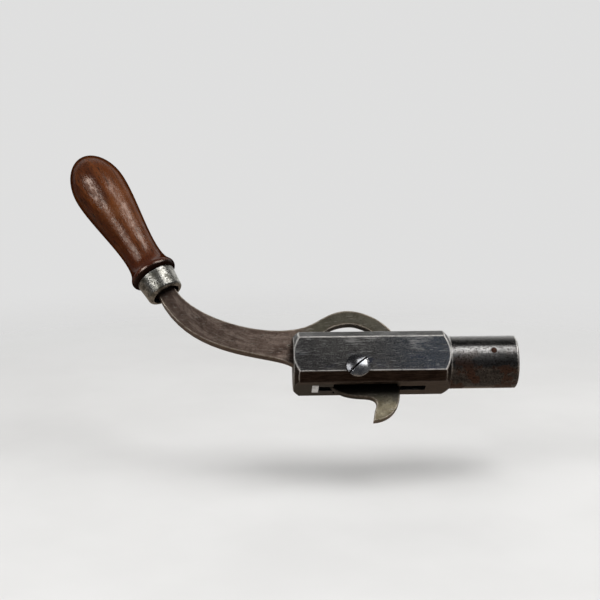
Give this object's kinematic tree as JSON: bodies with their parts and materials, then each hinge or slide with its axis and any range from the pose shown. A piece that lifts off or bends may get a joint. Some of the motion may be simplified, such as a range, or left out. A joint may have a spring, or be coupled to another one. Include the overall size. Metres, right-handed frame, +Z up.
{
  "type": "lever-operated hand press",
  "caption": "Hand press with a curved lever and pear-shaped wooden grip; its involute rim drives a ram along a slotted octagonal body with a round socket.",
  "frame": {"origin": "centre of the socket mouth, on the body axis", "axes": "+X out of the socket along the body axis, +Z up, -Y towards the side with the pivot screw's head"},
  "size_m": [0.3025, 0.0401, 0.2017],
  "materials": {
    "blued_steel": "worn blueing with bright edges and brown patina",
    "bare_steel": "turned and oiled",
    "rusted_steel": "brown rust",
    "screw_steel": "polished with traces of blue",
    "forged_steel": "forged and filed, brown-grey patina",
    "ferrule_nickel": "worn nickel plate, pitted",
    "varnished_wood": "glossy old varnish"
  },
  "bodies": {
    "press_body": {"body": "blued_steel", "socket_bush": "bare_steel", "barrel_pin": "rusted_steel", "slot_key": "bare_steel", "pivot_screw": "screw_steel"},
    "hand_lever": {"lever": "forged_steel", "ferrule": "ferrule_nickel", "grip": "varnished_wood"},
    "ram": {"plunger": "bare_steel", "drive_pin": "screw_steel"}
  },
  "joints": [
    {"name": "lever_pivot", "type": "hinge", "parent": "press_body", "child": "hand_lever", "pos_m": [-0.1072, 0, -0.0085], "axis": [0, 1, 0], "range_deg": [0, 75]},
    {"name": "ram_slide", "type": "slide", "parent": "press_body", "child": "ram", "axis": [1, 0, 0], "range_m": [0, 0.01113]}
  ],
  "couplings": [
    {"joint": "ram_slide", "follows": "lever_pivot", "m_per_rad": 0.0085}
  ]
}
